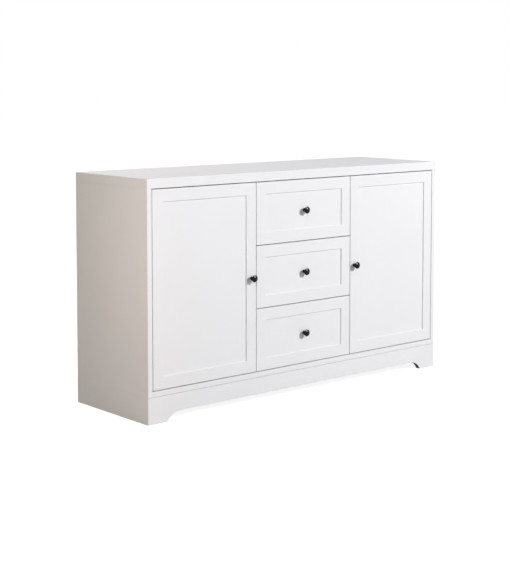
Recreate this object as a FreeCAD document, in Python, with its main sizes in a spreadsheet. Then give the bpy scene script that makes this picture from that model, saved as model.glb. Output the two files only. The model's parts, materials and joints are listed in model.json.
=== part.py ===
"""Sideboard buffet: two inset doors either side of three drawers, on a plinth with a shaped front.

Millimetres.  +X runs along the width, the fronts face -Y and +Z is up.  The origin lies on the
floor, in the middle of the box that holds the body and its knobs.
"""
import FreeCAD, Part
import math
import os
import re

import Sketcher
from FreeCAD import Placement, Rotation, Vector

DOC = FreeCAD.newDocument("Sideboard")
PIECES = []

# ---------------------------------------------------------------- driving dimensions

SIZES = (
    ("overall_width", 1370, "over the side panels"),
    ("body_depth", 415, "front faces to rear edges, without the knobs"),
    ("overall_height", 800, "floor to top"),
    ("board", 18, "thickness of sides, partitions and bottom"),
    ("top_board", 32, "thickness of the top panel"),
    ("edge_radius", 0.8, "rounded edges of the carcass and drawer boards"),
    ("front_radius", 1.2, "rounded edges of doors and drawer fronts"),
    ("back_board", 3, "thickness of the back panels and drawer bottoms"),
    ("back_recess", 8, "rear edges to the back panels"),
    ("groove_depth", 5, "grooves that hold the thin boards"),
    ("groove_play", 0.5, "room left at the bottom of a groove"),
    ("plinth_height", 90, "floor to the bottom panel"),
    ("plinth_board", 18, "thickness of the plinth boards"),
    ("seam_height", 1, "shadow line between the plinth's front and the bottom panel"),
    ("seam_depth", 8, "how far that shadow line runs back"),
    ("foot_width", 78, "end of the plinth to its cut-out, at the floor"),
    ("arch_start", 128, "end of the plinth to the level part of its cut-out"),
    ("arch_height", 31, "floor to the level part of the cut-out"),
    ("brace_height", 60, "plinth braces, hung clear of the floor"),
    ("gap", 3, "around every door and drawer front"),
    ("front_board", 18, "thickness of doors and drawer fronts"),
    ("front_clearance", 2, "closed fronts to the partitions behind them"),
    ("frame_width", 42, "flat border around each routed recess"),
    ("recess_depth", 4, "how far a recess lies behind the border"),
    ("shelf_board", 15, "thickness of a shelf"),
    ("shelf_height", 430, "floor to the shelf pins' centres"),
    ("shelf_setback", 40, "front faces to the shelf's edge"),
    ("shelf_end_gap", 2, "shelf end to panel"),
    ("shelf_rear_gap", 1, "shelf to back panel"),
    ("pin_pitch", 32, "spacing of the shelf pin holes"),
    ("pin_diameter", 5, "shelf pin"),
    ("pin_depth", 9, "shelf pin hole"),
    ("pin_collar", 8, "shelf pin's collar, across"),
    ("pin_collar_board", 1.5, "shelf pin's collar, thickness"),
    ("pin_front", 90, "front faces to the front row of pin holes"),
    ("pin_rear", 330, "front faces to the rear row of pin holes"),
    ("fitting_front", 60, "front faces to the front fittings"),
    ("fitting_rear", 340, "front faces to the rear fittings"),
    ("cam_diameter", 15, "cam lock"),
    ("cam_depth", 12.5, "cam lock"),
    ("cam_inset", 34, "panel edge to cam centre"),
    ("cam_slot", 2, "driver slot in a cam, width and depth"),
    ("bolt_bore", 8, "hole along a panel for the cam bolt"),
    ("bolt_thread", 5, "cam bolt's thread, across"),
    ("bolt_grip", 11, "length of the cam bolt's thread"),
    ("bolt_collar", 7, "cam bolt's collar and head, across"),
    ("bolt_stem", 6, "cam bolt's stem, across"),
    ("bolt_neck", 4, "cam bolt's neck, across"),
    ("bolt_head", 3, "cam bolt's head, length"),
    ("screw_diameter", 3.5, "fixing screw"),
    ("screw_length", 11, "fixing screw under its head"),
    ("screw_head", 6.5, "fixing screw's head, across"),
    ("screw_head_height", 1.6, "fixing screw's head"),
    ("hinge_inset", 80, "door end to hinge centre"),
    ("hinge_in", 21.5, "side panel to hinge pin"),
    ("hinge_back", 9.3, "front face to hinge pin"),
    ("hinge_pin", 3, "hinge pin, across"),
    ("hinge_pin_length", 33, "hinge pin"),
    ("running_gap", 0.05, "radial play of the arm on the hinge pin"),
    ("cup_in", 25.5, "side panel to the hinge cup's centre"),
    ("cup_diameter", 35, "hinge cup"),
    ("cup_depth", 13, "hinge cup"),
    ("cup_wall", 0.8, "hinge cup"),
    ("flange_board", 1, "hinge cup's flange"),
    ("flange_diameter", 41, "hinge cup's flange"),
    ("ear_width", 16, "screw ears of the hinge cup"),
    ("ear_length", 62, "screw ears of the hinge cup, tip to tip"),
    ("ear_screw", 25, "cup centre to ear screw"),
    ("arm_width", 13, "hinge arm"),
    ("arm_board", 2, "hinge arm's sheet"),
    ("arm_eye", 5.6, "rolled eye of the hinge arm, across"),
    ("arm_crank", 35.5, "side panel to the arm's outermost run"),
    ("arm_corner", 4.5, "bends at the front of the arm"),
    ("arm_turn", 29, "front face to the arm's turn back"),
    ("arm_step", 8, "height of the last bend, where the arm leaves its plate"),
    ("arm_end", 80, "front face to the arm's tail"),
    ("plate_board", 3, "hinge plate"),
    ("plate_row", 57, "front face to the plate's screws"),
    ("plate_screw", 16, "hinge centre to plate screw"),
    ("plate_wing", 24, "hinge centre to the tip of a plate's wing"),
    ("plate_start", 38, "front face to the plate"),
    ("plate_height", 16, "plate between its wings"),
    ("catch_in", 26, "partition to catch centre"),
    ("catch_width", 44, "catch's foot"),
    ("catch_body", 20, "catch's housing, width"),
    ("catch_height", 12, "catch's housing"),
    ("catch_depth", 14, "catch, front to back"),
    ("catch_foot", 3, "catch's foot, thickness"),
    ("catch_screw", 16, "catch centre to its screws"),
    ("strike_board", 1.5, "strike plate"),
    ("strike_height", 12, "strike plate"),
    ("strike_drop", 8, "door's top edge to the strike plate's centre"),
    ("strike_reach", 24, "catch centre to the strike plate's far end"),
    ("strike_screw", 17, "catch centre to the strike plate's screw"),
    ("slide_length", 350, "slide's outer member"),
    ("slide_short", 346, "slide's middle and inner members"),
    ("slide_thickness", 12.7, "partition to drawer side"),
    ("slide_height", 45, "slide's outer member"),
    ("slide_middle_height", 37, "slide's middle member"),
    ("slide_inner_height", 28, "slide's inner member"),
    ("slide_sheet", 1.2, "steel of the slides"),
    ("slide_lip", 9.6, "outer member, partition to the edge of its lips"),
    ("slide_middle_web", 4, "partition to the middle member's web"),
    ("slide_middle_lip", 11, "partition to the edge of the middle member's lips"),
    ("slide_inner_lip", 6.4, "partition to the edge of the inner member's lips"),
    ("slide_start", 22, "front faces to the slides"),
    ("slide_screw_front", 35, "front faces to the slides' front screws"),
    ("slide_screw_rear", 259, "front faces to the slides' rear screws"),
    ("drawer_board", 12, "drawer sides and backs"),
    ("drawer_side_height", 150, "drawer sides"),
    ("drawer_side_lift", 20, "drawer front's lower edge to its sides"),
    ("drawer_length", 350, "drawer sides"),
    ("drawer_floor_lift", 12, "drawer sides' lower edge to the bottom's underside"),
    ("knob_reach", 23.8, "knob, base to crown"),
    ("knob_base", 13.4, "knob base, across"),
    ("knob_base_board", 4.5, "straight edge of the knob base"),
    ("knob_foot_curve", 2.4, "radius of the hollow between base and waist"),
    ("knob_waist", 10.4, "knob's waist, across"),
    ("knob_waist_start", 7, "knob base to the start of its waist"),
    ("knob_waist_end", 9.5, "knob base to the end of its waist"),
    ("knob_flare", 4, "radius of the hollow between waist and head"),
    ("knob_back", 18.6, "underside of the knob's head, across"),
    ("knob_head_start", 13.9, "knob base to the underside of its head"),
    ("knob_rim_curve", 2.8, "radius of the rounded rim"),
    ("knob_head", 23.8, "foot of the knob's domed crown, across"),
    ("knob_rim", 18.4, "knob base to the foot of the crown"),
    ("knob_stud", 4, "knob's stud, across"),
    ("knob_stud_length", 8, "knob's stud"),
    ("door_knob_inset", 20, "door's free edge to its knob"),
)
SHEET = DOC.addObject("Spreadsheet::Sheet", "Sizes")
for row, (alias, value, note) in enumerate(SIZES, start=1):
    SHEET.set(f"A{row}", alias)
    SHEET.set(f"B{row}", str(value))
    SHEET.set(f"C{row}", note)
    SHEET.setAlias(f"B{row}", alias)
DOC.recompute()
ALIASES = {alias for alias, value, note in SIZES}

# Places and sizes that several pieces share, worked out from the cells above.
FRONT = "((knob_reach - body_depth) / 2)"
INSIDE = "(overall_width / 2 - board)"
TOP_UNDERSIDE = "(overall_height - top_board)"
BOTTOM_TOP = "(plinth_height + board)"
OPENING_WIDTH = "((overall_width - 4 * board) / 3)"
PARTITION_AT = f"(({OPENING_WIDTH} + board) / 2)"
DRAWER_FRONT_WIDTH = f"(2 * {PARTITION_AT} - gap)"
DOOR_WIDTH = f"({INSIDE} - {PARTITION_AT} - 1.5 * gap)"
FRONT_FOOT = "(plinth_height + board + gap)"
DOOR_HEIGHT = "(overall_height - top_board - plinth_height - board - 2 * gap)"
DRAWER_PITCH = f"(({DOOR_HEIGHT} + gap) / 3)"
DRAWER_FRONT_HEIGHT = f"({DRAWER_PITCH} - gap)"
PARTITION_START = "(front_board + front_clearance)"
CATCH_AT = f"({PARTITION_AT} + board / 2 + catch_in)"
SIDE_HEIGHT = f"({TOP_UNDERSIDE} - plinth_height)"
PARTITION_HEIGHT = f"({TOP_UNDERSIDE} - {BOTTOM_TOP})"
BACK_START = "(body_depth - back_recess - back_board)"
GROOVE_REACH = "(groove_depth - groove_play)"
DRAWER_HALF = f"({PARTITION_AT} - board / 2 - slide_thickness)"
SIDES = (("left", -1), ("right", 1))
LEVELS = (("bottom", 0), ("middle", 1), ("top", 2))
HINGE_ENDS = (f"({FRONT_FOOT} + hinge_inset)", f"({FRONT_FOOT} + {DOOR_HEIGHT} - hinge_inset)")
FITTINGS = ("fitting_front", "fitting_rear")
SLIDE_SCREWS = ("slide_screw_front", "slide_screw_rear")
PIN_ROWS = ("pin_front", "pin_rear")
PIN_STEPS = (-2, -1, 0, 1, 2)
ENDS = (-1, 1)

# ---------------------------------------------------------------- modelling helpers

# Which way each origin plane's normal points along its positive axis.
NORMAL = {"XY_Plane": 1, "XZ_Plane": -1, "YZ_Plane": 1}


def size(alias):
    """The number in a cell, for a first guess that constraints then settle."""
    return float(SHEET.get(alias))


def in_cells(text):
    """An expression written with bare aliases, as FreeCAD reads it."""
    return re.sub(r"[a-z]\w*", lambda m: "Sizes." + m.group() if m.group() in ALIASES else m.group(), text)


def bind(item, path, text):
    item.setExpression(path, in_cells(text))


def new_body(label):
    body = DOC.addObject("PartDesign::Body", label)
    body.Label = label
    return body


def sketch_on(body, plane, lift="0"):
    """A sketch on one of the body's own origin planes, lifted along that plane's positive axis."""
    sketch = body.newObject("Sketcher::SketchObject", body.Name + "_sketch")
    origin_plane = next(f for f in body.Origin.OriginFeatures if f.Role == plane)
    sketch.AttachmentSupport = [(origin_plane, "")]
    sketch.MapMode = "FlatFace"
    bind(sketch, "AttachmentOffset.Base.z", f"{NORMAL[plane]} * ({lift})")
    return sketch


def constrain(sketch, kind, text, now, *where):
    """A dimension of the sketch, now of this size, bound to an expression."""
    index = sketch.addConstraint(Sketcher.Constraint(kind, *where, now))
    bind(sketch, f"Constraints[{index}]", text)


def fix_point(sketch, line, end, u, v):
    now = sketch.getPoint(line, end)
    constrain(sketch, "DistanceX", u, now.x, -1, 1, line, end)
    constrain(sketch, "DistanceY", v, now.y, -1, 1, line, end)


def polyline(sketch, corners, closed=True):
    """Straight lines through corners that are given as pairs of expressions."""
    first = sketch.GeometryCount
    count = len(corners) if closed else len(corners) - 1
    ring = [Vector(math.cos(2 * math.pi * k / len(corners)), math.sin(2 * math.pi * k / len(corners)), 0)
            for k in range(len(corners))]
    for k in range(count):
        sketch.addGeometry(Part.LineSegment(ring[k], ring[(k + 1) % len(corners)]), False)
    for k in range(count if closed else count - 1):
        sketch.addConstraint(Sketcher.Constraint("Coincident", first + k, 2, first + (k + 1) % count, 1))
    for k in range(count):
        fix_point(sketch, first + k, 1, *corners[k])
    if not closed:
        fix_point(sketch, first + count - 1, 2, *corners[-1])


def rectangle(sketch, u, v, width, height):
    right, top = f"{u} + {width}", f"{v} + {height}"
    polyline(sketch, ((u, v), (right, v), (right, top), (u, top)))


def circle(sketch, u, v, diameter):
    index = sketch.addGeometry(Part.Circle(Vector(0, 0, 0), Vector(0, 0, 1), 1.0), False)
    constrain(sketch, "Diameter", diameter, 2.0, index)
    fix_point(sketch, index, 3, u, v)


def line_between(sketch, start, end):
    """A straight edge, as its number and the numbers of its two ends."""
    return sketch.addGeometry(Part.LineSegment(start, end), False), 1, 2


def arc_between(sketch, start, end, radius, side):
    """An arc that bulges to the left (side 1) or right (-1) of its way, with the numbers of its ends."""
    chord = end - start
    across = Vector(-chord.y, chord.x, 0).normalize() * side
    sagitta = radius - math.sqrt(radius ** 2 - (chord.Length / 2) ** 2)
    index = sketch.addGeometry(Part.Arc(start, (start + end) / 2 + across * sagitta, end), False)
    first = 1 if sketch.getPoint(index, 1).distanceToPoint(start) < 1e-6 else 2
    return index, first, 3 - first


def join_ring(sketch, edges):
    """Make each edge start where the one before it ends."""
    for (one, start, end), (two, next_start, next_end) in zip(edges, edges[1:] + edges[:1]):
        sketch.addConstraint(Sketcher.Constraint("Coincident", one, end, two, next_start))


def pad(body, sketch, plane, length, way=1):
    """Add material from the sketch, along the plane's positive axis or against it."""
    feature = body.newObject("PartDesign::Pad", body.Name + "_pad")
    feature.Profile = sketch
    bind(feature, "Length", length)
    feature.Reversed = way * NORMAL[plane] < 0
    return feature


def cut(body, sketch, plane, depth, way):
    """Take material away from the sketch, and check that some went."""
    DOC.recompute()
    before = body.Shape.Volume
    feature = body.newObject("PartDesign::Pocket", body.Name + "_cut")
    feature.Profile = sketch
    bind(feature, "Length", depth)
    feature.Reversed = way * NORMAL[plane] > 0
    DOC.recompute()
    if body.Shape.Volume > before - 1e-3:
        raise RuntimeError(f"a cut takes nothing away from {body.Label}")


def drill(body, plane, face, way, points, diameter, depth):
    """Blind round holes, from the face at that height on the plane's axis."""
    sketch = sketch_on(body, plane, face)
    for u, v in points:
        circle(sketch, u, v, diameter)
    cut(body, sketch, plane, depth, way)


def channel(body, plane, face, way, u, v, width, height, depth):
    """A straight rectangular groove or pocket."""
    sketch = sketch_on(body, plane, face)
    rectangle(sketch, u, v, width, height)
    cut(body, sketch, plane, depth, way)


def board(label, plane, width, height, thickness):
    """A flat board with one corner at its own origin."""
    body = new_body(label)
    sketch = sketch_on(body, plane)
    rectangle(sketch, "0", "0", width, height)
    pad(body, sketch, plane, thickness)
    return body


def ease(body, radius, chosen):
    """Round the edges, of the body as it is so far, that the test picks."""
    DOC.recompute()
    so_far = body.Tip
    names = [f"Edge{number}" for number, edge in enumerate(so_far.Shape.Edges, start=1) if chosen(edge)]
    if not names:
        raise RuntimeError(f"no edge to round on {body.Label}")
    feature = body.newObject("PartDesign::Fillet", body.Name + "_rounded")
    feature.Base = (so_far, names)
    bind(feature, "Radius", radius)


def ease_long_edges(body):
    DOC.recompute()
    longest = max(edge.Length for edge in body.Shape.Edges)
    ease(body, "edge_radius", lambda edge: edge.Length > 0.999 * longest)


def revolve(body, sketch):
    """Turn a half profile about the sketch's vertical axis."""
    feature = body.newObject("PartDesign::Revolution", body.Name + "_turned")
    feature.Profile = sketch
    feature.ReferenceAxis = (sketch, ["V_Axis"])
    feature.Angle = 360
    return feature


def place(item, x, y, z, turn=Rotation()):
    item.Placement = Placement(Vector(), turn)
    bind(item, "Placement.Base.x", x)
    bind(item, "Placement.Base.y", y)
    bind(item, "Placement.Base.z", z)


def keep(piece, x, y, z):
    """Put a finished sub-part where it belongs and list it for export."""
    place(piece, x, y, z)
    PIECES.append(piece)


def keep_group(label, master, spots):
    """One sub-part of several equal solids: a link to the master at every spot."""
    group = DOC.addObject("Part::Compound", label)
    group.Label = label
    links = []
    for x, y, z, turn in spots:
        link = DOC.addObject("App::Link", label + "_copy")
        link.LinkedObject = master
        place(link, x, y, z, turn)
        links.append(link)
    group.Links = links
    PIECES.append(group)


def axes(z_axis, y_axis):
    """The rotation that turns a piece's own Z and Y axes to these directions."""
    return Rotation(Vector(), Vector(*y_axis), Vector(*z_axis), "ZYX")


UPRIGHT = Rotation()
HALF_TURN = Rotation(Vector(0, 1, 0), 180)


def facing(side):
    """Pieces made for the left of an opening, turned over for its right."""
    return UPRIGHT if side < 0 else HALF_TURN


# ---------------------------------------------------------------- carcass

def top_panel():
    body = board("top_panel", "XY_Plane", "overall_width", "body_depth", "top_board")
    ease(body, "edge_radius", lambda edge: True)
    channel(body, "XY_Plane", "0", 1, "board - groove_depth", BACK_START,
            "(overall_width - 2 * board + 2 * groove_depth)", "back_board", "groove_depth")
    columns = ("board / 2", "overall_width - board / 2",
               f"overall_width / 2 - {PARTITION_AT}", f"overall_width / 2 + {PARTITION_AT}")
    bolts = [(x, y) for x in columns for y in FITTINGS]
    drill(body, "XY_Plane", "0", 1, bolts, "bolt_thread", "bolt_grip")
    catch_line = f"{PARTITION_START} + catch_depth / 2"
    screws = [(f"overall_width / 2 + {side} * {CATCH_AT} + {end} * catch_screw", catch_line)
              for name, side in SIDES for end in ENDS]
    drill(body, "XY_Plane", "0", 1, screws, "screw_diameter", "screw_length - catch_foot")
    keep(body, "-overall_width / 2", FRONT, TOP_UNDERSIDE)


def panel_faces(side):
    """Where a left or right board's inner face lies on its own X axis, and the way into the board."""
    return ("board", -1) if side < 0 else ("0", 1)


def pin_holes(body, face, way, start, foot):
    """Two rows of shelf pin holes, on a board that starts behind the fronts and above the floor."""
    points = [(f"{row} - {start}", f"shelf_height - {foot} + {step} * pin_pitch")
              for row in PIN_ROWS for step in PIN_STEPS]
    drill(body, "YZ_Plane", face, way, points, "pin_diameter", "pin_depth")


def side_panel(name, side):
    body = board(f"side_panel_{name}", "YZ_Plane", "body_depth", SIDE_HEIGHT, "board")
    ease_long_edges(body)
    face, way = panel_faces(side)
    channel(body, "YZ_Plane", face, way, BACK_START, "board - groove_depth", "back_board",
            f"({SIDE_HEIGHT} - board + groove_depth)", "groove_depth")
    drill(body, "XY_Plane", SIDE_HEIGHT, -1, [("board / 2", y) for y in FITTINGS], "bolt_bore", "cam_inset")
    drill(body, "YZ_Plane", face, way, [(y, f"{SIDE_HEIGHT} - cam_inset") for y in FITTINGS],
          "cam_diameter", "cam_depth")
    drill(body, "YZ_Plane", face, way, [(y, "board / 2") for y in FITTINGS], "bolt_thread", "bolt_grip")
    pin_holes(body, face, way, "0", "plinth_height")
    screws = [("plate_row", f"{end} - plinth_height + {up} * plate_screw")
              for end in HINGE_ENDS for up in ENDS]
    drill(body, "YZ_Plane", face, way, screws, "screw_diameter", "screw_length - plate_board")
    keep(body, "-overall_width / 2" if side < 0 else INSIDE, FRONT, "plinth_height")


def bottom_panel():
    width = f"(2 * {INSIDE})"
    body = board("bottom_panel", "XY_Plane", width, "body_depth", "board")
    ease_long_edges(body)
    channel(body, "XY_Plane", "board", -1, "0", BACK_START, width, "back_board", "groove_depth")
    for end, way in (("0", 1), (width, -1)):
        drill(body, "YZ_Plane", end, way, [(y, "board / 2") for y in FITTINGS], "bolt_bore", "cam_inset")
    cams = [(x, y) for x in ("cam_inset", f"{width} - cam_inset") for y in FITTINGS]
    drill(body, "XY_Plane", "0", 1, cams, "cam_diameter", "cam_depth")
    bolts = [(f"{INSIDE} + {side} * {PARTITION_AT}", y) for name, side in SIDES for y in FITTINGS]
    drill(body, "XY_Plane", "board", -1, bolts, "bolt_thread", "bolt_grip")
    keep(body, f"-{INSIDE}", FRONT, "plinth_height")


def partition(name, side):
    """Grooved on both faces; shelf pins and cams on the door side, slides on the drawer side."""
    depth = f"(body_depth - {PARTITION_START})"
    body = board(f"partition_{name}", "YZ_Plane", depth, PARTITION_HEIGHT, "board")
    ease_long_edges(body)
    drawer_face, drawer_way = panel_faces(side)
    door_face, door_way = panel_faces(-side)
    for face, way in ((drawer_face, drawer_way), (door_face, door_way)):
        channel(body, "YZ_Plane", face, way, f"({BACK_START} - {PARTITION_START})", "0", "back_board",
                PARTITION_HEIGHT, "groove_depth")
    rows = [f"{row} - {PARTITION_START}" for row in FITTINGS]
    for edge, way in (("0", 1), (PARTITION_HEIGHT, -1)):
        drill(body, "XY_Plane", edge, way, [("board / 2", y) for y in rows], "bolt_bore", "cam_inset")
        cams = [(y, f"{edge} + {way} * cam_inset") for y in rows]
        drill(body, "YZ_Plane", door_face, door_way, cams, "cam_diameter", "cam_depth")
    pin_holes(body, door_face, door_way, PARTITION_START, BOTTOM_TOP)
    screws = [(f"{row} - {PARTITION_START}", f"{slide_centre(level)} - {BOTTOM_TOP}")
              for row in SLIDE_SCREWS for key, level in LEVELS]
    drill(body, "YZ_Plane", drawer_face, drawer_way, screws, "screw_diameter", "screw_length - slide_sheet")
    keep(body, f"{side} * {PARTITION_AT} - board / 2", f"{FRONT} + {PARTITION_START}", BOTTOM_TOP)


def back_panels():
    """Three thin boards, each held in grooves on all four sides."""
    door_bay = f"({INSIDE} - {PARTITION_AT} - board / 2 + 2 * {GROOVE_REACH})"
    drawer_bay = f"(2 * {PARTITION_AT} - board + 2 * {GROOVE_REACH})"
    bays = (
        ("left", door_bay, f"-{INSIDE} - {GROOVE_REACH}"),
        ("centre", drawer_bay, f"-{PARTITION_AT} + board / 2 - {GROOVE_REACH}"),
        ("right", door_bay, f"{PARTITION_AT} + board / 2 - {GROOVE_REACH}"),
    )
    height = f"({PARTITION_HEIGHT} + 2 * {GROOVE_REACH})"
    for name, width, start in bays:
        body = board(f"back_panel_{name}", "XZ_Plane", width, height, "back_board")
        keep(body, start, f"{FRONT} + {BACK_START}", f"{BOTTOM_TOP} - {GROOVE_REACH}")


def shelf(name, side):
    width = f"({INSIDE} - {PARTITION_AT} - board / 2 - 2 * shelf_end_gap)"
    depth = f"({BACK_START} - shelf_setback - shelf_rear_gap)"
    body = board(f"shelf_{name}", "XY_Plane", width, depth, "shelf_board")
    ease_long_edges(body)
    inner_end = f"{PARTITION_AT} + board / 2 + shelf_end_gap"
    start = inner_end if side > 0 else f"-({inner_end} + {width})"
    keep(body, start, f"{FRONT} + shelf_setback", "shelf_height + pin_diameter / 2")


# ---------------------------------------------------------------- plinth

def plinth_front():
    """A board with mitred ends, a shadow line along its top, and a cut-out between two curved feet."""
    body = new_body("plinth_front")
    sketch = sketch_on(body, "XZ_Plane")
    length, height = size("overall_width"), size("plinth_height")
    foot, start, rise = size("foot_width"), size("arch_start"), size("arch_height")
    radius = ((start - foot) ** 2 + rise ** 2) / (2 * rise)
    left_toe, left_top = Vector(foot, 0, 0), Vector(start, rise, 0)
    right_toe, right_top = Vector(length - foot, 0, 0), Vector(length - start, rise, 0)
    outside = (left_toe, Vector(0, 0, 0), Vector(0, height, 0), Vector(length, height, 0),
               Vector(length, 0, 0), right_toe)
    edges = [line_between(sketch, a, b) for a, b in zip(outside, outside[1:])]
    right_arc = arc_between(sketch, right_toe, right_top, radius, -1)
    level = line_between(sketch, right_top, left_top)
    left_arc = arc_between(sketch, left_top, left_toe, radius, -1)
    edges += [right_arc, level, left_arc]
    join_ring(sketch, edges)
    places = (
        ("foot_width", "0"), ("0", "0"), ("0", "plinth_height"), ("overall_width", "plinth_height"),
        ("overall_width", "0"), ("overall_width - foot_width", "0"),
        ("overall_width - arch_start", "arch_height"), ("arch_start", "arch_height"),
    )
    for (edge, first, last), (u, v) in zip(edges, places):
        fix_point(sketch, edge, first, u, v)
    for arc, top in ((left_arc, "arch_start"), (right_arc, "overall_width - arch_start")):
        constrain(sketch, "DistanceX", top, sketch.getPoint(arc[0], 3).x, -1, 1, arc[0], 3)
    pad(body, sketch, "XZ_Plane", "plinth_board")
    for near, far in (("0", "plinth_board"), ("overall_width", "overall_width - plinth_board")):
        mitre = sketch_on(body, "XY_Plane")
        polyline(mitre, ((near, "0"), (near, "plinth_board"), (far, "plinth_board")))
        cut(body, mitre, "XY_Plane", "plinth_height", 1)
    channel(body, "XZ_Plane", "0", 1, "0", "(plinth_height - seam_height)",
            "overall_width", "seam_height", "seam_depth")
    ease(body, "edge_radius", lambda edge: edge.BoundBox.YMax < 1e-3 and edge.BoundBox.XLength > 1)
    keep(body, "-overall_width / 2", FRONT, "0")


def plinth_side(name, side):
    body = board(f"plinth_side_{name}", "YZ_Plane", "body_depth", "plinth_height", "plinth_board")
    outer, inner = ("0", "plinth_board") if side < 0 else ("plinth_board", "0")
    mitre = sketch_on(body, "XY_Plane")
    polyline(mitre, ((outer, "0"), (inner, "0"), (inner, "plinth_board")))
    cut(body, mitre, "XY_Plane", "plinth_height", 1)
    ease_long_edges(body)
    keep(body, "-overall_width / 2" if side < 0 else "overall_width / 2 - plinth_board", FRONT, "0")


def plinth_back():
    width = "(overall_width - 2 * plinth_board)"
    body = board("plinth_back", "XZ_Plane", width, "plinth_height", "plinth_board")
    ease_long_edges(body)
    keep(body, "plinth_board - overall_width / 2", f"{FRONT} + body_depth - plinth_board", "0")


def plinth_braces():
    length = "(body_depth - 2 * plinth_board)"
    master = board("plinth_brace", "YZ_Plane", length, "brace_height", "plinth_board")
    spots = [(f"{side} * {PARTITION_AT} - plinth_board / 2", f"{FRONT} + plinth_board",
              "plinth_height - brace_height", UPRIGHT) for name, side in SIDES]
    keep_group("plinth_braces", master, spots)


# ---------------------------------------------------------------- small hardware of the carcass

def turned_master(name, profile):
    """A turned piece about its own Z axis, from pairs of radius and height."""
    body = new_body(name)
    sketch = sketch_on(body, "XZ_Plane")
    polyline(sketch, profile)
    revolve(body, sketch)
    return body


def cam_locks():
    """Discs flush with the panel, open towards the bolt, with a cross slot for the driver."""
    master = new_body("cam_lock")
    disc = sketch_on(master, "XY_Plane")
    circle(disc, "0", "0", "cam_diameter")
    pad(master, disc, "XY_Plane", "cam_depth", -1)
    drill(master, "XZ_Plane", "-bolt_collar / 2", 1, [("0", "-board / 2")], "bolt_bore", "cam_diameter")
    for wide, tall in (("(cam_diameter / 2)", "cam_slot"), ("cam_slot", "(cam_diameter / 2)")):
        channel(master, "XY_Plane", "0", -1, f"-{wide} / 2", f"-{tall} / 2", wide, tall, "cam_slot")
    spots = []
    for name, side in SIDES:
        for row in FITTINGS:
            y = f"{FRONT} + {row}"
            door_face = f"{side} * ({PARTITION_AT} + board / 2)"
            upper = f"{TOP_UNDERSIDE} - cam_inset"
            spots += [
                (f"{side} * {INSIDE}", y, upper, axes((-side, 0, 0), (0, 0, 1))),
                (door_face, y, upper, axes((side, 0, 0), (0, 0, 1))),
                (door_face, y, f"{BOTTOM_TOP} + cam_inset", axes((side, 0, 0), (0, 0, -1))),
                (f"{side} * ({INSIDE} - cam_inset)", y, "plinth_height", axes((0, 0, -1), (side, 0, 0))),
            ]
    keep_group("cam_locks", master, spots)


def cam_bolts():
    """Bolts screwed into one panel's face; their heads reach the cams in the other panel."""
    parts = ("bolt_thread", "bolt_collar", "bolt_stem", "bolt_neck")
    thread, collar, stem, neck = (f"{part} / 2" for part in parts)
    neck_start = "-cam_inset + cam_diameter / 2"
    head_start = "-cam_inset + bolt_head"
    profile = (
        ("0", "bolt_grip"), (thread, "bolt_grip"), (thread, "0"), (collar, "0"), (collar, "-bolt_head"),
        (stem, "-bolt_head"), (stem, neck_start), (neck, neck_start), (neck, head_start),
        (collar, head_start), (collar, "-cam_inset"), ("0", "-cam_inset"),
    )
    master = turned_master("cam_bolt", profile)
    spots = []
    for name, side in SIDES:
        for row in FITTINGS:
            y = f"{FRONT} + {row}"
            spots += [
                (f"{side} * ({INSIDE} + board / 2)", y, TOP_UNDERSIDE, UPRIGHT),
                (f"{side} * {PARTITION_AT}", y, TOP_UNDERSIDE, UPRIGHT),
                (f"{side} * {PARTITION_AT}", y, BOTTOM_TOP, HALF_TURN),
                (f"{side} * {INSIDE}", y, "plinth_height + board / 2", axes((side, 0, 0), (0, 1, 0))),
            ]
    keep_group("cam_bolts", master, spots)


def shelf_pins():
    peg = "pin_diameter / 2"
    collar = "pin_collar / 2"
    profile = (
        ("0", "-pin_depth"), (peg, "-pin_depth"), (peg, "0"), (collar, "0"),
        (collar, "pin_collar_board"), (peg, "pin_collar_board"), (peg, "pin_depth"), ("0", "pin_depth"),
    )
    master = turned_master("shelf_pin", profile)
    spots = []
    for name, side in SIDES:
        for row in PIN_ROWS:
            y = f"{FRONT} + {row}"
            door_face = f"{side} * ({PARTITION_AT} + board / 2)"
            spots += [
                (f"{side} * {INSIDE}", y, "shelf_height", axes((-side, 0, 0), (0, 1, 0))),
                (door_face, y, "shelf_height", axes((side, 0, 0), (0, 1, 0))),
            ]
    keep_group("shelf_pins", master, spots)


def screw_master():
    """A pan-head screw whose head sits on z = 0 of its own frame and whose shank points down."""
    shank = "screw_diameter / 2"
    head = "screw_head / 2"
    profile = (
        ("0", "-screw_length"), (shank, "-screw_length + screw_diameter"), (shank, "0"), (head, "0"),
        (head, "screw_head_height / 2"), (shank, "screw_head_height"), ("0", "screw_head_height"),
    )
    return turned_master("screw", profile)


def carcass_screws(master):
    """The screws of the hinge plates, the slides' outer members and the catches."""
    spots = []
    for name, side in SIDES:
        inward = axes((-side, 0, 0), (0, 1, 0))
        on_plate = f"{side} * ({INSIDE} - plate_board)"
        in_slide = f"{side} * ({PARTITION_AT} - board / 2 - slide_sheet)"
        for end in HINGE_ENDS:
            for up in ENDS:
                spots.append((on_plate, f"{FRONT} + plate_row", f"{end} + {up} * plate_screw", inward))
        for key, level in LEVELS:
            for row in SLIDE_SCREWS:
                spots.append((in_slide, f"{FRONT} + {row}", slide_centre(level), inward))
        for end in ENDS:
            x = f"{side} * {CATCH_AT} + {end} * catch_screw"
            y = f"{FRONT} + {PARTITION_START} + catch_depth / 2"
            spots.append((x, y, f"{TOP_UNDERSIDE} - catch_foot", HALF_TURN))
    keep_group("carcass_screws", master, spots)


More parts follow.
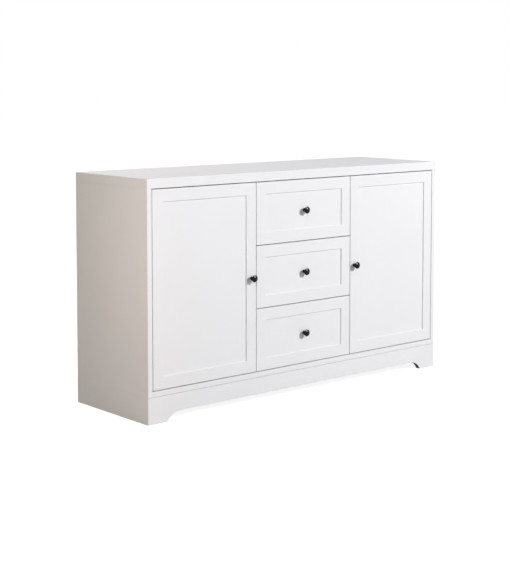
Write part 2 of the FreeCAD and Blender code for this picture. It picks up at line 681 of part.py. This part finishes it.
def door_catches():
    """Magnetic catches under the top: a housing on a foot with two screws."""
    master = new_body("door_catch")
    sketch = sketch_on(master, "XZ_Plane")
    foot, body_half = "catch_width / 2", "catch_body / 2"
    polyline(sketch, (
        (f"-{foot}", "0"), (f"-{foot}", "-catch_foot"), (f"-{body_half}", "-catch_foot"),
        (f"-{body_half}", "-catch_height"), (body_half, "-catch_height"),
        (body_half, "-catch_foot"), (foot, "-catch_foot"), (foot, "0"),
    ))
    pad(master, sketch, "XZ_Plane", "catch_depth")
    holes = [(f"{end} * catch_screw", "catch_depth / 2") for end in ENDS]
    drill(master, "XY_Plane", "0", -1, holes, "screw_diameter", "catch_foot")
    spots = [(f"{side} * {CATCH_AT}", f"{FRONT} + {PARTITION_START}", TOP_UNDERSIDE, UPRIGHT)
             for name, side in SIDES]
    keep_group("door_catches", master, spots)


# ---------------------------------------------------------------- hinges
# Hinge pieces share one frame: X runs from the side panel into the opening, Y back from the front
# face and Z up from the hinge's centre.  Turned over, they serve the right-hand door.

def hinge_spots(side):
    return [(f"{side} * {INSIDE}", FRONT, end, facing(side)) for end in HINGE_ENDS]


def hinge_plates():
    """A winged plate screwed to the side panel."""
    master = new_body("hinge_plate")
    sketch = sketch_on(master, "YZ_Plane")
    near, far = "plate_start", "arm_end"
    wing_near, wing_far = "plate_row - plate_height / 2", "plate_row + plate_height / 2"
    spine, wing = "(plate_height / 2)", "plate_wing"
    polyline(sketch, (
        (near, f"-{spine}"), (wing_near, f"-{spine}"), (wing_near, f"-{wing}"), (wing_far, f"-{wing}"),
        (wing_far, f"-{spine}"), (far, f"-{spine}"), (far, spine), (wing_far, spine),
        (wing_far, wing), (wing_near, wing), (wing_near, spine), (near, spine),
    ))
    pad(master, sketch, "YZ_Plane", "plate_board")
    holes = [("plate_row", f"{up} * plate_screw") for up in ENDS]
    drill(master, "YZ_Plane", "0", 1, holes, "screw_diameter", "plate_board")
    keep_group("hinge_plates", master, [spot for name, side in SIDES for spot in hinge_spots(side)])


def hinge_arms():
    """A cranked strip from the plate, round the swinging door edge, to a rolled eye on the pin."""
    master = new_body("hinge_arm")
    path = sketch_on(master, "XY_Plane")
    on_plate = "plate_board + arm_board / 2"
    polyline(path, (
        ("hinge_in", "hinge_back"),
        ("arm_crank - arm_corner", "hinge_back"),
        ("arm_crank", "hinge_back + arm_corner"),
        ("arm_crank", "arm_turn"),
        ("arm_crank - arm_corner", "arm_turn + arm_corner"),
        (f"{on_plate} + arm_step", "plate_start + plate_board"),
        (on_plate, "plate_start + plate_board + arm_step"),
        (on_plate, "arm_end"),
    ), closed=False)
    section = sketch_on(master, "YZ_Plane", "hinge_in")
    rectangle(section, "hinge_back - arm_board / 2", "-arm_width / 2", "arm_board", "arm_width")
    strip = master.newObject("PartDesign::AdditivePipe", "hinge_arm_strip")
    strip.Profile = section
    strip.Spine = path
    strip.Transition = "Right corner"
    eye = sketch_on(master, "XY_Plane", "-arm_width / 2")
    circle(eye, "hinge_in", "hinge_back", "arm_eye")
    pad(master, eye, "XY_Plane", "arm_width")
    drill(master, "XY_Plane", "-arm_width / 2", 1, [("hinge_in", "hinge_back")],
          "(hinge_pin + 2 * running_gap)", "arm_width")
    keep_group("hinge_arms", master, [spot for name, side in SIDES for spot in hinge_spots(side)])


def hinge_cup_master():
    """A pressed cup with a round flange and two screw ears, pierced for the pin."""
    master = new_body("hinge_cup")
    bottom = "front_board - cup_depth"
    can = sketch_on(master, "XZ_Plane", bottom)
    circle(can, "cup_in", "0", "cup_diameter")
    pad(master, can, "XZ_Plane", "(cup_depth + flange_board)")
    flange = sketch_on(master, "XZ_Plane", "front_board")
    circle(flange, "cup_in", "0", "flange_diameter")
    pad(master, flange, "XZ_Plane", "flange_board")
    ears = sketch_on(master, "XZ_Plane", "front_board")
    rectangle(ears, "cup_in - ear_width / 2", "-ear_length / 2", "ear_width", "ear_length")
    pad(master, ears, "XZ_Plane", "flange_board")
    drill(master, "XZ_Plane", "front_board + flange_board", -1, [("cup_in", "0")],
          "(cup_diameter - 2 * cup_wall)", "(cup_depth + flange_board - cup_wall)")
    holes = [("cup_in", f"{up} * ear_screw") for up in ENDS]
    drill(master, "XZ_Plane", "front_board + flange_board", -1, holes, "screw_diameter", "flange_board")
    axle = [("hinge_in", "hinge_back")]
    drill(master, "XY_Plane", "-cup_diameter / 2", 1, axle, "hinge_pin", "cup_diameter")
    return master


def hinge_pin_master():
    master = new_body("hinge_pin")
    sketch = sketch_on(master, "XY_Plane", "-hinge_pin_length / 2")
    circle(sketch, "hinge_in", "hinge_back", "hinge_pin")
    pad(master, sketch, "XY_Plane", "hinge_pin_length")
    return master


# ---------------------------------------------------------------- doors and drawer fronts

def routed_front(label, width, height):
    """A board routed in front: a flat border round a flat recess, its edges rounded."""
    body = board(label, "XZ_Plane", width, height, "front_board")
    recess = sketch_on(body, "XZ_Plane")
    rectangle(recess, "frame_width", "frame_width",
              f"({width} - 2 * frame_width)", f"({height} - 2 * frame_width)")
    cut(body, recess, "XZ_Plane", "recess_depth", 1)
    depth = size("front_board")
    ease(body, "front_radius", lambda edge: edge.BoundBox.YMax < 1e-3 or edge.BoundBox.YLength > depth - 1e-3)
    return body


def knob(label, x, y, z):
    """A mushroom knob with its stud, turned about its own Y axis, crown towards -Y."""
    body = new_body(label)
    sketch = sketch_on(body, "XY_Plane")
    stud, base, waist, back, head = (
        size(alias) / 2 for alias in ("knob_stud", "knob_base", "knob_waist", "knob_back", "knob_head"))
    crown = size("knob_reach")
    rise = crown - size("knob_rim")
    dome = (head ** 2 + rise ** 2) / (2 * rise)
    tip = size("knob_stud_length")
    corners = (
        Vector(0, tip, 0), Vector(stud, tip, 0), Vector(stud, 0, 0), Vector(base, 0, 0),
        Vector(base, -size("knob_base_board"), 0), Vector(waist, -size("knob_waist_start"), 0),
        Vector(waist, -size("knob_waist_end"), 0), Vector(back, -size("knob_head_start"), 0),
        Vector(head, -size("knob_rim"), 0), Vector(0, -crown, 0),
    )
    edges = [line_between(sketch, a, b) for a, b in zip(corners[:4], corners[1:5])]
    hollow = arc_between(sketch, corners[4], corners[5], size("knob_foot_curve"), -1)
    stem = line_between(sketch, corners[5], corners[6])
    flare = arc_between(sketch, corners[6], corners[7], size("knob_flare"), -1)
    rim = arc_between(sketch, corners[7], corners[8], size("knob_rim_curve"), 1)
    top = arc_between(sketch, corners[8], corners[9], dome, 1)
    edges += [hollow, stem, flare, rim, top, line_between(sketch, corners[9], corners[0])]
    join_ring(sketch, edges)
    places = (
        ("0", "knob_stud_length"), ("knob_stud / 2", "knob_stud_length"), ("knob_stud / 2", "0"),
        ("knob_base / 2", "0"), ("knob_base / 2", "-knob_base_board"),
        ("knob_waist / 2", "-knob_waist_start"), ("knob_waist / 2", "-knob_waist_end"),
        ("knob_back / 2", "-knob_head_start"), ("knob_head / 2", "-knob_rim"), ("0", "-knob_reach"),
    )
    for (edge, first, last), (u, v) in zip(edges, places):
        fix_point(sketch, edge, first, u, v)
    for arc, alias in ((hollow, "knob_foot_curve"), (flare, "knob_flare"), (rim, "knob_rim_curve")):
        constrain(sketch, "Radius", alias, size(alias), arc[0])
    sketch.addConstraint(Sketcher.Constraint("PointOnObject", top[0], 3, -2))
    revolve(body, sketch)
    keep(body, x, y, z)


def door(name, side, screw):
    body = routed_front(f"door_panel_{name}", DOOR_WIDTH, DOOR_HEIGHT)

    def across(text):
        """A distance from the side panel, as one along the door's own width."""
        return f"({text}) - gap" if side < 0 else f"{DOOR_WIDTH} - (({text}) - gap)"

    hinge_rows = ("hinge_inset", f"{DOOR_HEIGHT} - hinge_inset")
    cups = [(across("cup_in"), row) for row in hinge_rows]
    drill(body, "XZ_Plane", "front_board", -1, cups, "cup_diameter", "cup_depth")
    ear_screws = [(across("cup_in"), f"{row} + {up} * ear_screw") for row in hinge_rows for up in ENDS]
    drill(body, "XZ_Plane", "front_board", -1, ear_screws, "screw_diameter", "screw_length - flange_board")
    strike_screws = [(across(f"{INSIDE} - {CATCH_AT} - strike_screw"), f"{DOOR_HEIGHT} - strike_drop")]
    drill(body, "XZ_Plane", "front_board", -1, strike_screws, "screw_diameter", "screw_length - strike_board")
    knob_across = f"{DOOR_WIDTH} - door_knob_inset" if side < 0 else "door_knob_inset"
    knob_up = f"{DOOR_HEIGHT} / 2"
    drill(body, "XZ_Plane", "0", 1, [(knob_across, knob_up)], "knob_stud", "knob_stud_length")
    start = f"-{INSIDE} + gap" if side < 0 else f"{INSIDE} - gap - {DOOR_WIDTH}"
    keep(body, start, FRONT, FRONT_FOOT)
    knob(f"door_knob_{name}", f"{start} + {knob_across}", FRONT, f"{FRONT_FOOT} + {knob_up}")
    keep_group(f"hinge_cups_{name}", HINGE_CUP, hinge_spots(side))
    keep_group(f"hinge_pins_{name}", HINGE_PIN, hinge_spots(side))

    # The strike plate meets the catch, and runs on towards the door's middle, where its screw is.
    strike = new_body(f"catch_strike_{name}")
    plate = sketch_on(strike, "XZ_Plane")
    left = "-strike_reach" if side < 0 else "-catch_body / 2"
    rectangle(plate, left, "-strike_height / 2", "(catch_body / 2 + strike_reach)", "strike_height")
    pad(strike, plate, "XZ_Plane", "strike_board")
    drill(strike, "XZ_Plane", "0", 1, [(f"{side} * strike_screw", "0")], "screw_diameter", "strike_board")
    strike_up = f"{FRONT_FOOT} + {DOOR_HEIGHT} - strike_drop"
    keep(strike, f"{side} * {CATCH_AT}", f"{FRONT} + front_board", strike_up)

    backward = axes((0, 1, 0), (0, 0, 1))
    on_flange = f"{FRONT} + front_board + flange_board"
    spots = [(f"{side} * ({INSIDE} - cup_in)", on_flange, f"{end} + {up} * ear_screw", backward)
             for end in HINGE_ENDS for up in ENDS]
    on_strike = f"{FRONT} + front_board + strike_board"
    spots.append((f"{side} * ({CATCH_AT} + strike_screw)", on_strike, strike_up, backward))
    keep_group(f"door_screws_{name}", screw, spots)


# ---------------------------------------------------------------- drawers

def drawer_foot(level):
    """Height of a drawer front's lower edge."""
    return f"({FRONT_FOOT} + {level} * {DRAWER_PITCH})"


def slide_centre(level):
    return f"({drawer_foot(level)} + drawer_side_lift + drawer_side_height / 2)"


def drawer(name, level):
    foot = drawer_foot(level)
    box_foot = f"({foot} + drawer_side_lift)"
    front = routed_front(f"drawer_front_{name}", DRAWER_FRONT_WIDTH, DRAWER_FRONT_HEIGHT)
    inner_half = f"({DRAWER_HALF} - drawer_board)"
    groove_half = f"({inner_half} + groove_depth)"
    channel(front, "XZ_Plane", "front_board", -1, f"{DRAWER_FRONT_WIDTH} / 2 - {groove_half}",
            "(drawer_side_lift + drawer_floor_lift)", f"(2 * {groove_half})", "back_board", "groove_depth")
    middle = [(f"{DRAWER_FRONT_WIDTH} / 2", f"{DRAWER_FRONT_HEIGHT} / 2")]
    drill(front, "XZ_Plane", "recess_depth", 1, middle, "knob_stud", "knob_stud_length")
    keep(front, f"-{DRAWER_FRONT_WIDTH} / 2", FRONT, foot)
    knob(f"drawer_knob_{name}", "0", f"{FRONT} + recess_depth", f"{foot} + {DRAWER_FRONT_HEIGHT} / 2")

    for hand, side in SIDES:
        label = f"drawer_side_{hand}_{name}"
        body = board(label, "YZ_Plane", "drawer_length", "drawer_side_height", "drawer_board")
        ease_long_edges(body)
        inner, way = ("drawer_board", -1) if side < 0 else ("0", 1)
        channel(body, "YZ_Plane", inner, way, "0", "drawer_floor_lift",
                "drawer_length", "back_board", "groove_depth")
        start = f"-{DRAWER_HALF}" if side < 0 else f"{DRAWER_HALF} - drawer_board"
        keep(body, start, f"{FRONT} + front_board", box_foot)

    back = board(f"drawer_back_{name}", "XZ_Plane", f"2 * {inner_half}",
                 "(drawer_side_height - drawer_floor_lift - back_board)", "drawer_board")
    ease_long_edges(back)
    keep(back, f"-{inner_half}", f"{FRONT} + front_board + drawer_length - drawer_board",
         f"{box_foot} + drawer_floor_lift + back_board")

    floor = board(f"drawer_bottom_{name}", "XY_Plane", f"(2 * {inner_half} + 2 * {GROOVE_REACH})",
                  f"(drawer_length + {GROOVE_REACH})", "back_board")
    keep(floor, f"-{inner_half} - {GROOVE_REACH}", f"{FRONT} + front_board - {GROOVE_REACH}",
         f"{box_foot} + drawer_floor_lift")


def slide_member(name, height, web, way, lip, length):
    """A steel channel: its web's flat back and its lips' edges are measured from the partition."""
    master = new_body(name)
    sketch = sketch_on(master, "XZ_Plane")
    outer, inner = f"({height} / 2)", f"({height} / 2 - slide_sheet)"
    hollow = f"{web} + {way} * slide_sheet"
    polyline(sketch, (
        (web, f"-{outer}"), (lip, f"-{outer}"), (lip, f"-{inner}"), (hollow, f"-{inner}"),
        (hollow, inner), (lip, inner), (lip, outer), (web, outer),
    ))
    pad(master, sketch, "XZ_Plane", length)
    return master


def slides():
    outer = slide_member("slide_outer", "slide_height", "0", 1, "slide_lip", "slide_length")
    holes = [(f"{row} - slide_start", "0") for row in SLIDE_SCREWS]
    drill(outer, "YZ_Plane", "0", 1, holes, "screw_diameter", "slide_sheet")
    middle = slide_member("slide_middle", "slide_middle_height", "slide_middle_web", 1,
                          "slide_middle_lip", "slide_short")
    inner = slide_member("slide_inner", "slide_inner_height", "slide_thickness", -1,
                         "slide_inner_lip", "slide_short")

    def spots(level):
        return [(f"{side} * ({PARTITION_AT} - board / 2)", f"{FRONT} + slide_start", slide_centre(level),
                 facing(side)) for name, side in SIDES]

    keep_group("slide_outer_members", outer, [spot for name, level in LEVELS for spot in spots(level)])
    for name, level in LEVELS:
        keep_group(f"slide_middle_members_{name}", middle, spots(level))
        keep_group(f"slide_inner_members_{name}", inner, spots(level))


# ---------------------------------------------------------------- build, check and write

top_panel()
bottom_panel()
back_panels()
plinth_front()
plinth_back()
plinth_braces()
for NAME, SIDE in SIDES:
    side_panel(NAME, SIDE)
    partition(NAME, SIDE)
    plinth_side(NAME, SIDE)
    shelf(NAME, SIDE)
cam_locks()
cam_bolts()
shelf_pins()
SCREW = screw_master()
carcass_screws(SCREW)
door_catches()
hinge_plates()
hinge_arms()
HINGE_CUP = hinge_cup_master()
HINGE_PIN = hinge_pin_master()
for NAME, SIDE in SIDES:
    door(NAME, SIDE, SCREW)
for NAME, LEVEL in LEVELS:
    drawer(NAME, LEVEL)
slides()
DOC.recompute()

failed = [item.Label for item in DOC.Objects if {"Invalid", "Error"} & set(item.State)]
failed += [piece.Label for piece in PIECES if piece.Shape.isNull() or not piece.Shape.isValid()]
if failed:
    raise RuntimeError("failed: " + ", ".join(failed))

os.makedirs("parts", exist_ok=True)
for piece in PIECES:
    piece.Shape.exportStep(f"parts/{piece.Label}.step")
print(len(PIECES), "sub-parts,", sum(len(piece.Shape.Solids) for piece in PIECES), "solids")
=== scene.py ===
"""Sideboard buffet: finishes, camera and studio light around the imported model, in metres."""
import json
import math

import bpy
from mathutils import Euler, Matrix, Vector


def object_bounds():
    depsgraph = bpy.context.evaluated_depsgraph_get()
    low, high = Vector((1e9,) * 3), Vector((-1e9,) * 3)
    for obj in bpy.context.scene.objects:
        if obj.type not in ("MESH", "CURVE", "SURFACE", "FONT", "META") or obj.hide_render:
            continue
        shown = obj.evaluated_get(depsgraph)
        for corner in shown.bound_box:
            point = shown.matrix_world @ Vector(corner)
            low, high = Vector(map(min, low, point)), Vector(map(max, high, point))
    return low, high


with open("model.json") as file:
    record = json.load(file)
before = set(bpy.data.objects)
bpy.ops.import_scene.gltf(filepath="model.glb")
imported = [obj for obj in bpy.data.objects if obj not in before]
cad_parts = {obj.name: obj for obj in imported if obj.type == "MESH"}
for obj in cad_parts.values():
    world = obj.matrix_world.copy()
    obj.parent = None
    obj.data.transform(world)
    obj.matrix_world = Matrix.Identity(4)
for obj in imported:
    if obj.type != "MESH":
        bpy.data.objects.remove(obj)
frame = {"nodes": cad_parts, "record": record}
cad_low, cad_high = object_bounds()
middle = (cad_low + cad_high) / 2

scene = bpy.context.scene

# ---------------------------------------------------------------- node helpers


class Nodes:
    """The nodes of a material or a world, with short calls for the kinds used here."""

    def __init__(self, owner):
        owner.use_nodes = True
        self.tree = owner.node_tree

    def node(self, kind, **settings):
        made = self.tree.nodes.new(kind)
        for key, value in settings.items():
            setattr(made, key, value)
        return made

    def feed(self, socket, value):
        """An input's own value, or the output that it takes its value from."""
        if isinstance(value, bpy.types.NodeSocket):
            self.tree.links.new(value, socket)
        else:
            socket.default_value = value

    def maths(self, operation, *values):
        """One arithmetic step on numbers or outputs."""
        made = self.node("ShaderNodeMath", operation=operation)
        for socket, value in zip(made.inputs, values):
            self.feed(socket, value)
        return made.outputs["Value"]

    def spread(self, source, low, high, start=0.3, end=0.7, curve="LINEAR"):
        """A value from start to end mapped to low to high."""
        made = self.node("ShaderNodeMapRange", interpolation_type=curve)
        ends = {"From Min": start, "From Max": end, "To Min": low, "To Max": high}
        for name, value in ends.items():
            made.inputs[name].default_value = value
        self.feed(made.inputs["Value"], source)
        return made.outputs["Result"]

    def axes_of(self, vector):
        """The X, Y and Z of a vector output."""
        split = self.node("ShaderNodeSeparateXYZ")
        self.feed(split.inputs["Vector"], vector)
        return [split.outputs[axis] for axis in "XYZ"]

    def direct_view(self):
        """1 for rays from the camera and for rays that a glossy or clear surface sends on, else 0."""
        paths = self.node("ShaderNodeLightPath").outputs
        sent_on = self.maths("MAXIMUM", paths["Is Glossy Ray"], paths["Is Transmission Ray"])
        return self.maths("MAXIMUM", paths["Is Camera Ray"], sent_on)


class Finish(Nodes):
    """A procedural material, its patterns placed by the object's own coordinates."""

    SOCKETS = {
        "colour": "Base Color",
        "rough": "Roughness",
        "metal": "Metallic",
        "level": "Specular IOR Level",
    }

    def __init__(self, name):
        self.material = bpy.data.materials.new(name)
        super().__init__(self.material)
        self.shader = self.tree.nodes["Principled BSDF"]
        self.place = self.node("ShaderNodeTexCoord").outputs["Object"]

    def set(self, **values):
        for key, value in values.items():
            self.feed(self.shader.inputs[self.SOCKETS[key]], value)

    def noise(self, scale, detail=2.0, rough=0.5):
        made = self.node("ShaderNodeTexNoise")
        made.inputs["Scale"].default_value = scale
        made.inputs["Detail"].default_value = detail
        made.inputs["Roughness"].default_value = rough
        self.feed(made.inputs["Vector"], self.place)
        return made.outputs["Fac"]

    def blend(self, factor, first, second):
        """Two colours, each a tuple or an output, mixed by a value."""
        made = self.node("ShaderNodeMix", data_type="RGBA")
        self.feed(made.inputs["Factor"], factor)
        for name, colour in (("A", first), ("B", second)):
            socket = next(s for s in made.inputs if s.name == name and s.type == "RGBA")
            self.feed(socket, (*colour, 1.0) if isinstance(colour, tuple) else colour)
        return next(s for s in made.outputs if s.type == "RGBA")

    def facing(self):
        """The X, Y and Z of the way that the flat surface faces."""
        return self.axes_of(self.node("ShaderNodeNewGeometry").outputs["True Normal"])

    def relief(self, height, depth, strength):
        """Bump of this depth in metres."""
        bump = self.node("ShaderNodeBump")
        bump.inputs["Distance"].default_value = depth
        bump.inputs["Strength"].default_value = strength
        self.feed(bump.inputs["Height"], height)
        self.feed(self.shader.inputs["Normal"], bump.outputs["Normal"])


# ---------------------------------------------------------------- finishes

# A surface faces along an axis when its normal has more than this share of that axis.
FACES_ALONG = 0.5
# Painted shade on the faces inside the plinth front's cut-out lies between these heights, clear of the
# undersides of the feet, and this far either side of the middle, clear of the plinth's ends.
CUT_FOOT, CUT_TOP, CUT_REACH = 0.0012, 0.0325, 0.62
# The painted shade in the cut-out is this matte.
CUTOUT_SHADE_ROUGHNESS = 0.85


def cutout_shade_mask(made):
    """1 on the faces inside the plinth front's cut-out, where shade is painted, else 0."""
    across, _, height = made.axes_of(made.place)
    _, rearward, _ = made.facing()
    edgeways = made.maths("LESS_THAN", made.maths("ABSOLUTE", rearward), FACES_ALONG)
    above_foot = made.maths("GREATER_THAN", height, CUT_FOOT)
    below_board = made.maths("LESS_THAN", height, CUT_TOP)
    between_ends = made.maths("LESS_THAN", made.maths("ABSOLUTE", across), CUT_REACH)
    return made.maths("MULTIPLY", made.maths("MULTIPLY", edgeways, above_foot),
                      made.maths("MULTIPLY", below_board, between_ends))


def laminate(name, cut=False):
    """Satin white foil on MDF, its fine texture just visible, and with cut set, dark painted shade
    inside the plinth front's cut-out.
    """
    made = Finish(name)
    cloud = made.noise(5.0, detail=3.0)
    colour = made.blend(made.spread(cloud, 0.0, 1.0), (0.855, 0.860, 0.868), (0.872, 0.877, 0.885))
    rough = made.spread(made.noise(28.0, detail=4.0), 0.36, 0.44)
    if cut:
        # Painted shade: a dark, matte patch on the faces inside the cut-out, standing in for the shadow
        # under the cabinet.
        shade_mask = cutout_shade_mask(made)
        painted_shade = made.blend(made.noise(900.0, detail=4.0), (0.055, 0.055, 0.057), (0.095, 0.094, 0.092))
        colour = made.blend(shade_mask, colour, painted_shade)
        rough = made.maths("MAXIMUM", rough, made.maths("MULTIPLY", shade_mask, CUTOUT_SHADE_ROUGHNESS))
    made.set(colour=colour, rough=rough, level=0.42)
    made.relief(made.noise(420.0), depth=0.00004, strength=0.35)
    return made.material


def hardboard(name):
    """Thin board, white on the face that shows and unfaced brown board on the back or underneath."""
    made = Finish(name)
    _, rearward, upward = made.facing()
    downward = made.maths("MULTIPLY", upward, -1.0)
    reverse = made.maths("GREATER_THAN", made.maths("MAXIMUM", rearward, downward), FACES_ALONG)
    white = made.blend(made.noise(40.0, detail=6.0), (0.80, 0.80, 0.78), (0.84, 0.84, 0.82))
    strands = made.noise(260.0, detail=8.0, rough=0.7)
    brown = made.blend(made.spread(strands, 0.0, 1.0), (0.20, 0.125, 0.070), (0.36, 0.245, 0.150))
    brown = made.blend(made.spread(made.noise(7.0, detail=3.0), 0.0, 0.35), brown, (0.26, 0.17, 0.10))
    rough = made.spread(made.noise(60.0, detail=4.0), 0.55, 0.72)
    made.set(colour=made.blend(reverse, white, brown), rough=rough, level=0.35)
    made.relief(strands, depth=0.00015, strength=0.5)
    return made.material


def painted(name, scale, detail, dark, light, rough):
    """A plain coat, its colour clouded a little."""
    made = Finish(name)
    made.set(colour=made.blend(made.noise(scale, detail), dark, light), rough=rough)
    return made.material


def knob_black(name):
    """Glossy black, with slightly duller patches."""
    made = Finish(name)
    colour = made.blend(made.noise(300.0, detail=3.0), (0.004, 0.004, 0.0045), (0.008, 0.008, 0.009))
    rough = made.spread(made.noise(120.0, detail=3.0), 0.16, 0.22)
    made.set(colour=colour, rough=rough, level=0.12)
    return made.material


def metal(name, dark, light, rough_low, rough_high):
    """Bare or plated metal, its colour and its polish a little uneven."""
    made = Finish(name)
    colour = made.blend(made.noise(180.0, detail=4.0), dark, light)
    rough = made.spread(made.noise(260.0, detail=4.0), rough_low, rough_high)
    made.set(colour=colour, rough=rough, metal=1.0)
    return made.material


FINISHES = {
    "white_laminate": laminate("white_laminate"),
    "white_backing": hardboard("white_backing"),
    "drawer_box": painted("drawer_box", 40.0, 6.0, (0.82, 0.82, 0.80), (0.86, 0.86, 0.84), 0.55),
    "knob_black": knob_black("knob_black"),
    "plated_steel": metal("plated_steel", (0.58, 0.58, 0.59), (0.66, 0.66, 0.67), 0.22, 0.34),
    "cam_zinc": metal("cam_zinc", (0.50, 0.50, 0.51), (0.58, 0.58, 0.59), 0.42, 0.55),
    "screw_steel": metal("screw_steel", (0.56, 0.54, 0.50), (0.64, 0.63, 0.60), 0.28, 0.40),
    "pin_steel": metal("pin_steel", (0.60, 0.60, 0.61), (0.66, 0.66, 0.67), 0.20, 0.30),
    "catch_plastic": painted("catch_plastic", 60.0, 3.0, (0.80, 0.80, 0.78), (0.84, 0.84, 0.82), 0.45),
}
# The plinth front's finish, with painted shade inside its cut-out.
SHADED_CUTOUT_LAMINATE = laminate("white_laminate_shaded_cutout", cut=True)

for part in frame["record"]["subparts"]:
    name = part["node"]
    materials = frame["nodes"][name].data.materials
    materials.clear()
    materials.append(SHADED_CUTOUT_LAMINATE if name == "plinth_front" else FINISHES[part["material_slot"]])

# ---------------------------------------------------------------- light


def aim(thing, at):
    thing.rotation_euler = (Vector(at) - thing.location).to_track_quat("-Z", "Y").to_euler()


def from_front(turn, rise, distance, at):
    """A place this far from a point, turned to the right of its front and raised, in degrees."""
    turn, rise = math.radians(turn), math.radians(rise)
    flat = math.cos(rise)
    way = Vector((math.sin(turn) * flat, -math.cos(turn) * flat, math.sin(rise)))
    return Vector(at) + distance * way


def lamp(name, turn, rise, distance, across, level, mirrored=False):
    """A round lamp aimed at the object's middle, where a white sheet facing it would be this bright."""
    data = bpy.data.lights.new(name, "AREA")
    data.shape = "DISK"
    data.size = across
    data.energy = math.pi ** 2 * distance ** 2
    data.color = level
    made = bpy.data.objects.new(name, data)
    made.location = from_front(turn, rise, distance, middle)
    made.visible_glossy = mirrored
    scene.collection.objects.link(made)
    aim(made, middle)
    return made


lamp("key", 27, 25, 5.5, 0.45, (0.756, 0.745, 0.757))
lamp("fill_low", -72, 3, 1.3, 0.5, (0.047, 0.035, 0.028), mirrored=True)
lamp("fill_side", -75, 20, 1.5, 0.6, (0.075, 0.070, 0.062), mirrored=True)
lamp("fill_front", -45, 35, 2.5, 1.0, (0.108, 0.110, 0.116))
lamp("fill_right", 100, 3, 3.0, 1.6, (0.13, 0.13, 0.13))
lamp("rear_high", -160, 45, 2.5, 1.0, (0.192, 0.215, 0.300))
lamp("rear_left", -150, 35, 2.5, 1.2, (0.227, 0.155, 0.040))

# A tall softbox that only the knobs reflect, for their gleam.
GLEAM_HEIGHT = 1.5
gleam = lamp("gleam", 15, 42, 2.0, 0.6, (5.0, 5.0, 5.0), mirrored=True)
gleam.data.shape = "RECTANGLE"
gleam.data.size_y = GLEAM_HEIGHT
gleam.visible_diffuse = False
knobs = bpy.data.collections.new("knobs")
for name, node in frame["nodes"].items():
    if "knob" in name:
        knobs.objects.link(node)
gleam.light_linking.receiver_collection = knobs

# ---------------------------------------------------------------- backdrop and floor

WHITE = (1.0, 1.0, 1.0, 1.0)
AMBIENT = 0.08

world = bpy.data.worlds.new("studio")
scene.world = world
sky = Nodes(world)
ambient = sky.tree.nodes["Background"]
backdrop = sky.node("ShaderNodeBackground")
for background, strength in ((ambient, AMBIENT), (backdrop, 1.0)):
    background.inputs["Color"].default_value = WHITE
    background.inputs["Strength"].default_value = strength
choose = sky.node("ShaderNodeMixShader")
sky.feed(choose.inputs[0], sky.direct_view())
sky.feed(choose.inputs[1], ambient.outputs[0])
sky.feed(choose.inputs[2], backdrop.outputs[0])
sky.feed(sky.tree.nodes["World Output"].inputs["Surface"], choose.outputs[0])

FLOOR_SIZE = 60
FLOOR_COLOUR = (0.5, 0.5, 0.5, 1.0)
# The light that the floor gives off towards the camera goes from the first lift, near the object,
# where its shadow shows, to the second one, between these two distances from the middle.
NEAR_LIFT, FAR_LIFT = 0.87, 1.0
NEAR, FAR = 0.9, 2.4

bpy.ops.mesh.primitive_plane_add(size=FLOOR_SIZE)
floor = bpy.context.object
floor.name = "floor"
ground = Finish("floor")
floor.data.materials.append(ground.material)
ground.set(colour=FLOOR_COLOUR, rough=0.9)
away = ground.node("ShaderNodeVectorMath", operation="LENGTH")
ground.feed(away.inputs[0], ground.place)
lift = ground.spread(away.outputs["Value"], NEAR_LIFT, FAR_LIFT, NEAR, FAR, curve="SMOOTHSTEP")
glow = ground.node("ShaderNodeEmission")
ground.feed(glow.inputs["Strength"], ground.maths("MULTIPLY", ground.direct_view(), lift))
lit_and_lifted = ground.node("ShaderNodeAddShader")
ground.feed(lit_and_lifted.inputs[0], ground.shader.outputs[0])
ground.feed(lit_and_lifted.inputs[1], glow.outputs[0])
ground.feed(ground.tree.nodes["Material Output"].inputs["Surface"], lit_and_lifted.outputs[0])

# ---------------------------------------------------------------- camera

LENS, SENSOR = 81.232, 36.0
SHIFT_UP = -0.2
CLIP_END = 200.0
CAMERA_PLACE = (-3.1407, -3.5926, 1.1203)
# How far it looks down and how far it is turned to its right, in degrees.
LOOK_DOWN, LOOK_RIGHT = 4.2027, 40.5754

camera_data = bpy.data.cameras.new("camera")
camera_data.lens = LENS
camera_data.sensor_width = SENSOR
camera_data.shift_y = SHIFT_UP
camera_data.clip_end = CLIP_END
camera = bpy.data.objects.new("camera", camera_data)
camera.location = CAMERA_PLACE
camera.rotation_euler = Euler((math.radians(90 - LOOK_DOWN), 0, math.radians(-LOOK_RIGHT)))
scene.collection.objects.link(camera)
scene.camera = camera

scene.view_settings.view_transform = "Standard"
